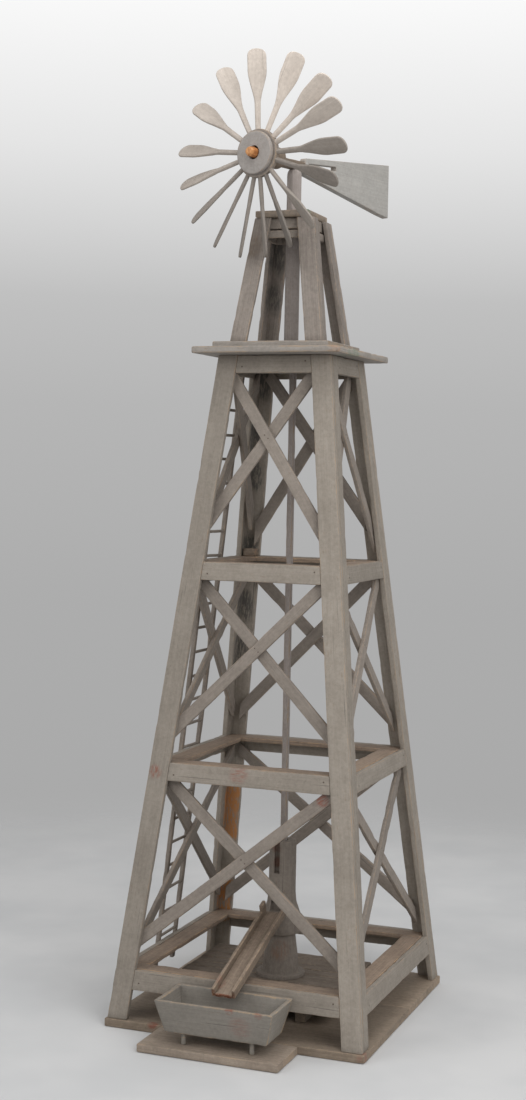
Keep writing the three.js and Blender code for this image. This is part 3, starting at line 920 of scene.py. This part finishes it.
def make_ladder():
    piece = Piece("ladder", SHADE)
    spacing, stile, overhang = 80, 10, 3.5
    foot, head, outer, inner = 49.5, 1199.5, -8.5, -0.5
    middle_depth = (outer + inner) / 2
    for sign in (-1, 1):
        s = sign * spacing / 2
        edges = (lambda z, s=s: s - stile / 2, lambda z, s=s: s + stile / 2)
        upright(piece, LOWER, LEFT, edges, foot, head, outer, inner, step=20)
    first, pitch, rungs, unevenness = 109.5, 45.6, 24, 1.2
    for number in range(rungs):
        draw = random.Random(300 + number)
        ends = []
        for sign in (-1, 1):
            z = first + pitch * number + draw.uniform(-unevenness, unevenness)
            ends.append(LOWER.place(LEFT, sign * (spacing / 2 + overhang), z, middle_depth))
        rung(piece, *ends, 3.0)
    hanging_nail(piece, LOWER.place(LEFT, spacing / 2, 50, middle_depth) + Vector((0, 0, 2)), 15)
    piece.make()


def rung(piece, start, end, radius):
    """A whittled round rod between two points."""
    seed = Piece.seed()
    way = end - start
    turn = facing(start, way)
    spans, sides = 6, 10
    rings = []
    for i in range(spans + 1):
        height = way.length * i / spans
        ring = []
        for j, (x, y) in enumerate(circle(sides)):
            r = radius * (0.94 + 0.09 * noise.noise(Vector((i * 0.7, j * 1.3, seed))))
            ring.append((turn @ Vector((r * x, r * y, height)), (height + seed * 61.0, j * 0.8, 0.0), 0.3))
        rings.append(ring)
    piece.loft(rings, random.Random(seed).uniform(-1, 1))


# ---- the pump, chute and trough ----
def make_pump():
    """The turned body, with its mouth for the chute, its slot, its blind bore and a peg."""
    mouth = ((-13, -42, 182), (13, -16, 200))
    slot = ((-8, -30, 252), (3, -13, 320))
    piece = Piece("pump_body", DARK, cut=(mouth, slot))
    outline = [
        (46, 58.3), (46, 64.5), (35.5, 64.8), (26.5, 137), (26.5, 139), (37, 139), (37, 170),
        (27.5, 196), (25.5, 215), (25.5, 312), (10, 312), (10, 250),
    ]
    profile, wears = subdivided(*softened(outline, 1.8), 9)
    revolve(piece, profile, 72, wears, wobble=0.5)
    peg = Matrix.Translation((24, -3, 287)) @ Matrix.Rotation(math.pi / 2, 4, "Y")
    revolve(piece, [(2.4, 0), (2.4, 6), (1.6, 7.5)], 12, turn=peg)
    piece.make()


def make_pump_rod():
    piece = Piece("pump_rod", MAST, body="pump_rod")
    half, x, low, high = 6, 1.5, 250.3, 1206
    block(piece, (x - half, -half, low), (x + half, half, high), axis=2, radius=2.2, rough=0.5)
    piece.make()


def make_chute():
    piece = Piece("chute", CHUTE)
    top, foot = Vector((0, -38.5, 184)), Vector((0, -288, 99))
    length = (foot - top).length
    down = (foot - top) / length
    up = Vector((0, down.z, -down.y))
    half, wall, floor, height = 22, 6.2, 6, 11

    def plank(x0, x1, t0, t1, n0, n1, **options):
        """A board between two places across the chute, two down it and two up from its floor."""
        corners = ((x0, t0), (x0, t1), (x1, t1), (x1, t0))
        faces = [[Vector((x, 0, 0)) + top + down * t + up * n for x, t in corners] for n in (n1, n0)]
        board(piece, *faces, **options)

    inner_half = half - wall
    plank(0.1 - inner_half, inner_half - 0.1, 0, length, -floor, 0, rough=0.4)
    plank(-half, -inner_half, 0, length, -floor, height, rough=0.6, radius=1.4)
    plank(inner_half, half, 0, length, -floor, height, rough=0.6, radius=1.4)
    ear_start, ear_end, ear_low, ear_high = 0.2, 20, height - 3, height + 12
    plank(-half, 1 - inner_half, ear_start, ear_end, ear_low, ear_high, rough=0.6, radius=1.8)
    piece.make()


def make_trough():
    piece = Piece("trough", TROUGH)
    cx, cy, low, high = 4.5, -295.5, 36.5, 95
    top_x, top_y, low_x, low_y, wall, floor = 108, 53.5, 93, 38, 8, 7
    inset = wall + 0.2

    def wall_board(corners, inward, **options):
        """A sloping wall, its outer corners given about the trough's middle."""
        outer = [Vector((cx + x, cy + y, z)) for x, y, z in corners]
        board(piece, outer, [p + inward for p in outer], step=9, **options)

    for sign in (-1, 1):
        corners = [(-low_x, sign * low_y, low), (low_x, sign * low_y, low),
                   (top_x, sign * top_y, high), (-top_x, sign * top_y, high)]
        wall_board(corners, Vector((0, -sign * wall, 0)), radius=1.6, rough=0.6)
        rim = high - 0.6
        corners = [(sign * low_x, inset - low_y, low), (sign * low_x, low_y - inset, low),
                   (sign * top_x, top_y - inset, rim), (sign * top_x, inset - top_y, rim)]
        wall_board(corners, Vector((-sign * wall, 0, 0)), radius=1.4, rough=0.5)
    floor_x, floor_y = low_x - wall + 1, low_y - wall + 1
    block(piece, (cx - floor_x, cy - floor_y, low), (cx + floor_x, cy + floor_y, low + floor))
    peg_x, peg_y = 63, 25.5
    profile, wears = softened([(3.6, BASE_TOP + GAP), (4.5, 16), (4.3, 28), (4.4, low + 2)], 1.0)
    for sx in (-1, 1):
        for sy in (-1, 1):
            turn = Matrix.Translation((cx + sx * peg_x, cy + sy * peg_y, 0))
            revolve(piece, profile, 18, wears, wobble=0.4, turn=turn)
    piece.make()


# ---- the head and the wheel ----
HEAD_YAW = math.radians(-17.2)
AXLE_Z = 1568.5
HUB_CENTRE = 107.8
HEAD = Matrix.Translation((UPPER.shift, 0, 0)) @ Matrix.Rotation(HEAD_YAW, 4, "Z")
# The axle's frame within the head: its Z axis runs forward, to the wheel.
FORWARD = Matrix.Translation((0, 0, AXLE_Z)) @ Matrix.Rotation(math.pi / 2, 4, "X")
WHEEL = HEAD @ FORWARD @ Matrix.Translation((0, 0, HUB_CENTRE))


def make_mast():
    """An octagonal post with softened corners and a rounded top."""
    piece = Piece("mast", MAST, body="head", matrix=HEAD)
    across, low, high = 26, FLOOR_HIGH + GAP, 1556
    eighth = math.pi / 4
    reach = across / 2 / math.cos(eighth / 2)
    # Each ring's height and how much it is drawn in.
    levels = [(low, 0.95), *((low + 1 + 20 * i, 1.0) for i in range(15)), (high - 12, 1.0)]
    levels += [(high - 7, 0.97), (high - 3, 0.89), (high - 0.8, 0.76), (high, 0.6)]
    corner_share, corner_worn, all_worn = 0.1, 0.985, 0.99
    rings = []
    for z, rounding in levels:
        ring = []
        for i in range(8):
            for offset in (-corner_share, 0.0, corner_share):
                angle = eighth * (0.5 + i + offset)
                shorter = math.cos(eighth / 2) / math.cos(eighth / 2 - abs(offset) * eighth)
                wave = 1 + 0.012 * noise.noise(Vector((i * 3.1, z * 0.03, 4.0)))
                r = reach * shorter * rounding * (corner_worn if offset == 0 else 1.0) * wave * all_worn
                point = Vector((r * math.cos(angle), r * math.sin(angle), z))
                ring.append((point, (z, i * 9.0 + offset * 9, 0.0), 0.75 if offset == 0 else 0.0))
        rings.append(ring)
    piece.loft(rings)
    piece.make()


def make_head_block():
    """The turned barrel that carries the pin, and the beam that joins it to the mast and the vane."""
    piece = Piece("head_block", RAW, body="head", matrix=HEAD)
    outline = [
        (4, 52), (20, 52), (20, 70), (18.6, 72), (20, 74), (20, 100.3), (10.8, 100.3), (10.8, 76), (2, 76),
    ]
    profile, wears = softened(outline, 1.2)
    revolve(piece, profile, 40, wears, wobble=0.5, turn=FORWARD)
    half_width, front, back, bottom, top = 9, -60, 22.7, 1556.3, 1572
    block(piece, (-half_width, front, bottom), (half_width, back, top), axis=1, radius=1.5)
    piece.make()


def make_axle_pin():
    """A pin whittled to a few facets, with a blunt end."""
    piece = Piece("axle_pin", PIN, body="head", matrix=HEAD)
    seed = Piece.seed()
    facets, end_from = 9, 130
    profile = ((9.4, 76), (10.1, 78), (10.1, 118), (9.9, 126), (9.0, 133), (7.2, 136.6), (4.4, 137.5))
    rings = []
    for radius, height in profile:
        ring = []
        for i in range(facets):
            angle = 2 * math.pi * (i + 0.3 * noise.noise(Vector((i * 2.7, 0.5, seed)))) / facets
            r = radius * (0.96 + 0.05 * noise.noise(Vector((i * 1.9, height * 0.12, seed))))
            x, y = r * math.cos(angle), r * math.sin(angle)
            wear = 0.9 if height > end_from else 0.2
            ring.append((FORWARD @ Vector((x, y, height)), (height, x, y), wear))
        rings.append(ring)
    piece.loft(rings)
    piece.make(crease=15)


def flat_plate(piece, outline, hole, thickness, turn, inset=3.0, bevel=1.3):
    """A sawn panel with a hole: flat faces, rounded edges and worn rims."""
    work = bmesh.new()
    loops, edges = (outline, hole), []
    for loop in loops:
        corners = [work.verts.new((x, y, thickness / 2)) for x, y in loop]
        edges += [work.edges.new((p, q)) for p, q in zip(corners, corners[1:] + corners[:1])]
    filled = bmesh.ops.triangle_fill(work, edges=edges, use_beauty=True)
    faces = [f for f in filled["geom"] if isinstance(f, bmesh.types.BMFace)]
    bmesh.ops.inset_region(work, faces=faces, thickness=inset, use_even_offset=True, use_boundary=True)
    extruded = bmesh.ops.extrude_face_region(work, geom=list(work.faces))
    moved = [v for v in extruded["geom"] if isinstance(v, bmesh.types.BMVert)]
    bmesh.ops.translate(work, verts=moved, vec=(0, 0, -thickness))
    bmesh.ops.recalc_face_normals(work, faces=work.faces)
    rims = [e for e in work.edges if len(e.link_faces) == 2 and e.calc_face_angle(0) > 1.2]
    bmesh.ops.bevel(work, geom=rims, offset=bevel, segments=3, profile=0.5, affect="EDGES")
    bmesh.ops.triangulate(work, faces=[f for f in work.faces if len(f.verts) > 4])
    work.verts.index_update()
    start = len(piece.points)
    for v in work.verts:
        near_rim = min(edge_distance(v.co, loop) for loop in loops) < bevel * 1.4
        piece.add_point(turn @ v.co, (v.co.x + 40, v.co.y, v.co.z), 0.85 if near_rim else 0.0, 0.2)
    for f in work.faces:
        piece.faces.append(tuple(start + v.index for v in f.verts))
        piece.slots.append(0)
    work.free()


def edge_distance(point, loop):
    """How far a point is from a closed outline, seen along the third axis."""
    flat = Vector((point.x, point.y))
    distances = []
    for p, q in zip(loop, loop[1:] + loop[:1]):
        a, b = Vector(p), Vector(q)
        share = max(0.0, min(1.0, (flat - a).dot(b - a) / (b - a).length_squared))
        distances.append((flat - a.lerp(b, share)).length)
    return min(distances)


def make_vane():
    piece = Piece("tail_vane", VANE, body="head", matrix=HEAD)
    # The panel's first axis runs back from the mast, its second one up.
    turn = Matrix(((0, 0, 1, 0), (1, 0, 0, 0), (0, 1, 0, 0), (0, 0, 0, 1)))
    outline = [
        (23, 1556), (28, 1549.5), (271, 1509.3), (300, 1505.5), (300, 1609), (27, 1580.5), (23, 1576),
    ]
    hole = [(35, 1563.3), (122, 1571.4), (122, 1579), (35, 1571.5)]
    flat_plate(piece, outline, hole, 14, turn)
    piece.make()


def make_hub(name, material, radius, low, high):
    """A disc with a bore and rounded rims, its section as (radius, height, wear) points."""
    piece = Piece(name, material, body="wheel", matrix=WHEEL)
    bore, edge = 12.5, 1.4
    soft = 0.35 * edge
    flat, rim = radius * 0.6, radius - 3 * edge
    rounding = ((radius - edge, 0.0, 0.7), (radius - soft, soft, 1.0), (radius, edge, 0.7))
    points = [(bore, low, 0.3), (bore, high, 0.6), (bore + 2, high, 0.0)]
    points += [(flat, high, 0.0), (rim, high, 0.0)]
    points += [(r, high - drop, wear) for r, drop, wear in rounding]
    points += [(r, low + rise, wear) for r, rise, wear in reversed(rounding)]
    points += [(rim, low, 0.0), (flat, low, 0.0)]
    profile, wears = [point[:2] for point in points], [point[2] for point in points]
    revolve(piece, profile, 96, wears, capped=False, wobble=0.3)
    piece.make()


# Each blade's angle from straight up, the reach of its tip and a factor on its paint's lightness, which is
# painted light and shade: upper blades lighter, lower ones darker, as the light falls at rest.
BLADES = (
    (-2.6, 187, 1.18), (27, 187, 1.38), (52, 191, 1.38), (68, 190, 1.15), (91, 192, 0.7), (110, 187, 0.56),
    (137.5, 187, 0.68), (155.5, 187, 0.4), (173.5, 187, 0.5), (192, 187, 0.52), (212, 188, 0.54),
    (234.5, 188, 0.62), (257, 185, 0.88), (277.3, 185, 0.82), (304.5, 179, 0.93), (332, 183.5, 1.06),
)
BLADE_PITCH = math.radians(45)
SOCKET_END, STEM_END, PADDLE_START = 44, 91, 146


def blade_half_width(r, tip):
    """Half the blade's width at a distance from the wheel's centre."""
    socket, stem, swell, paddle, corner = 3.0, 5.0, 0.8, 17.5, 15
    inset = 0.25
    if r < SOCKET_END:
        return socket
    if r <= STEM_END:
        return stem + swell * (r - SOCKET_END) / (STEM_END - SOCKET_END) - inset
    if r < PADDLE_START:
        share = (r - STEM_END) / (PADDLE_START - STEM_END)
        widening = 0.35 * share + 0.65 * share * share * (3 - 2 * share)
        return stem + swell + (paddle - stem - swell) * widening - inset
    if r < tip - corner:
        return paddle - inset
    share = (r - (tip - corner)) / corner
    return paddle * (1 - share ** 2.6) ** 0.42 - inset


def blade_half_thickness(r, tip):
    """Half the blade's thickness, which falls along the stem and again towards the tip."""
    return 3.9 - 1.5 * min(1.0, max(0.0, (r - 80) / 50)) - 0.4 * max(0.0, (r - 130) / (tip - 130))


def blade_ring(r, tip, seed):
    """The points around a blade at a distance from the wheel's centre, with grain and wear."""
    half, thick = blade_half_width(r, tip), blade_half_thickness(r, tip)
    bend = 0.5 * noise.noise(Vector((r * 0.03, seed, 1.0))) * min(1.0, half / 8)
    squareness = 0.34 if r > 100 else 0.7
    ring = []
    for cosine, sine in circle(20):
        x = math.copysign(abs(cosine) ** squareness, cosine) * half
        z = math.copysign(abs(sine) ** squareness, sine) * thick
        at_rim = abs(cosine) > 0.8 or r > tip - 3
        ring.append((Vector((x + bend, r, z)), (r + seed * 211.0, x, z), 0.7 if at_rim else 0.0))
    return ring


def make_blades():
    stem = [37, 40, SOCKET_END, 52, 62, 72, 82, *range(STEM_END, 140, 6), PADDLE_START]
    for number, (degrees, tip, painted_light) in enumerate(BLADES, 1):
        turn = Matrix.Rotation(-math.radians(degrees), 4, "Z") @ Matrix.Rotation(BLADE_PITCH, 4, "Y")
        piece = Piece(f"blade_{number:02d}", BLADE, body="wheel", matrix=WHEEL @ turn)
        seed = Piece.seed()
        from_tip = [*(36 - 4 * i for i in range(7)), 9.5, 6.5, 4, 2.2, 0.9, 0.2]
        stations = sorted({round(r, 2) for r in stem + [tip - back for back in from_tip]})
        # The blade's painted light and shade goes in as its tone.
        piece.loft([blade_ring(r, tip, seed) for r in stations], (painted_light - 1) / TONE_SHARE)
        piece.make(crease=75)


# ---- floor, lights and camera ----
def make_floor():
    """A round pale floor whose rim fades into the backdrop's colour."""
    sides, radius, fade_start, fade_end = 96, 4.0, 1.0, 2.2
    mesh = bpy.data.meshes.new("floor")
    work = bmesh.new()
    bmesh.ops.create_circle(work, cap_ends=True, segments=sides, radius=radius)
    work.to_mesh(mesh)
    work.free()
    g = Material("floor_cloth")
    cloud = g.step(g.noise(g.places, 3.0), 0.3, 0.7)
    colour = g.mix(cloud, rgba((0.56, 0.565, 0.57)), rgba((0.63, 0.63, 0.63)))
    weave = g.noise(g.places, 900.0, 2.0)
    g.set(g.shader, Base_Color=colour, Roughness=0.95, Normal=g.bump(weave, 0.15))
    fade = g.step(g.vector_math("LENGTH", g.places), fade_start, fade_end)
    surface = g.mix_shader(fade, g.shader, g.node("ShaderNodeBsdfTransparent"))
    g.set(g.tree.nodes["Material Output"], Surface=surface)
    mesh.materials.append(g.made)
    floor = bpy.data.objects.new("floor", mesh)
    floor.location.z = -0.0005
    bpy.context.scene.collection.objects.link(floor)


# The backdrop's grey at places from straight down, 0, to straight up, 1, and the light it gives to the
# camera: painted light, brighter towards the top as on a backdrop lit from above.
BACKDROP = (
    (0.0, 0.45), (0.38, 0.41), (0.404, 0.4), (0.462, 0.415), (0.52, 0.465), (0.55, 0.525), (0.593, 0.78),
    (0.64, 0.98),
)
AMBIENT = 0.5


def make_backdrop():
    """A pale world that is seen as BACKDROP and lights evenly."""
    world = bpy.data.worlds.new("studio")
    bpy.context.scene.world = world
    g = Graph(world)
    way = g.node("ShaderNodeSeparateXYZ", Vector=g.node("ShaderNodeTexCoord").outputs["Generated"])
    height = g.node("ShaderNodeMapRange", Value=way.outputs[2], From_Min=-1.0)
    ramp = g.node("ShaderNodeValToRGB", Fac=height.outputs[0])
    stops = ramp.color_ramp.elements
    while len(stops) < len(BACKDROP):
        stops.new(0.5)
    for stop, (place, level) in zip(stops, BACKDROP):
        stop.position, stop.color = place, rgba((level, level, level))
    seen = g.set(g.tree.nodes["Background"], Color=ramp.outputs[0], Strength=1.0)
    lighting = g.node("ShaderNodeBackground", Color=rgba((1.0, 1.0, 1.0)), Strength=AMBIENT)
    looked_at = g.node("ShaderNodeLightPath").outputs["Is Camera Ray"]
    g.set(g.tree.nodes["World Output"], Surface=g.mix_shader(looked_at, lighting, seen))


# Each square lamp: its name, its place and the point it looks at in metres, its width and power.
LAMPS = (
    ("overhead", (0.7, -0.7, 3.4), (0, 0, 1.2), 2.5, 46),
    ("right", (2.6, -2.3, 2.0), (0, 0, 1.3), 1.8, 43),
    ("left", (-2.4, -2.8, 2.2), (0, 0, 1.2), 2.0, 31),
)


def make_lamp(name, place, aim, width, power):
    lamp = bpy.data.lights.new(name, "AREA")
    lamp.shape, lamp.size, lamp.energy = "SQUARE", width, power
    made = bpy.data.objects.new(name, lamp)
    made.location = place
    made.rotation_mode = "QUATERNION"
    made.rotation_quaternion = (Vector(aim) - Vector(place)).to_track_quat("-Z", "Y")
    bpy.context.scene.collection.objects.link(made)


def make_camera():
    place = Vector((1.06211, -2.93197, 0.99833))
    yaw, pitch, roll = 0.36295, -0.04621, 0.018995
    image_height, focal = 1100, 1678.06
    lens = bpy.data.cameras.new("camera")
    lens.sensor_width = 36
    lens.lens = lens.sensor_width * focal / image_height
    camera = bpy.data.objects.new("camera", lens)
    turn = Matrix.Rotation(yaw, 4, "Z") @ Matrix.Rotation(math.pi / 2 + pitch, 4, "X")
    camera.matrix_world = Matrix.Translation(place) @ turn @ Matrix.Rotation(roll, 4, "Z")
    bpy.context.scene.collection.objects.link(camera)
    bpy.context.scene.camera = camera


make_camera()
make_backdrop()
make_floor()
for lamp in LAMPS:
    make_lamp(*lamp)
bpy.context.scene.view_settings.view_transform = "Standard"

make_base()
make_landing()
make_deck()
make_legs()
make_girts()
make_braces()
make_walkway()
make_walkway_floor()
make_cap()
make_ladder()
make_pump()
make_pump_rod()
make_chute()
make_trough()
make_mast()
make_head_block()
make_axle_pin()
make_vane()
make_hub("hub_rear", REAR_HUB, radius=43.5, low=-5, high=5)
make_hub("hub_front", HUB, radius=38.5, low=5.3, high=14.3)
make_blades()
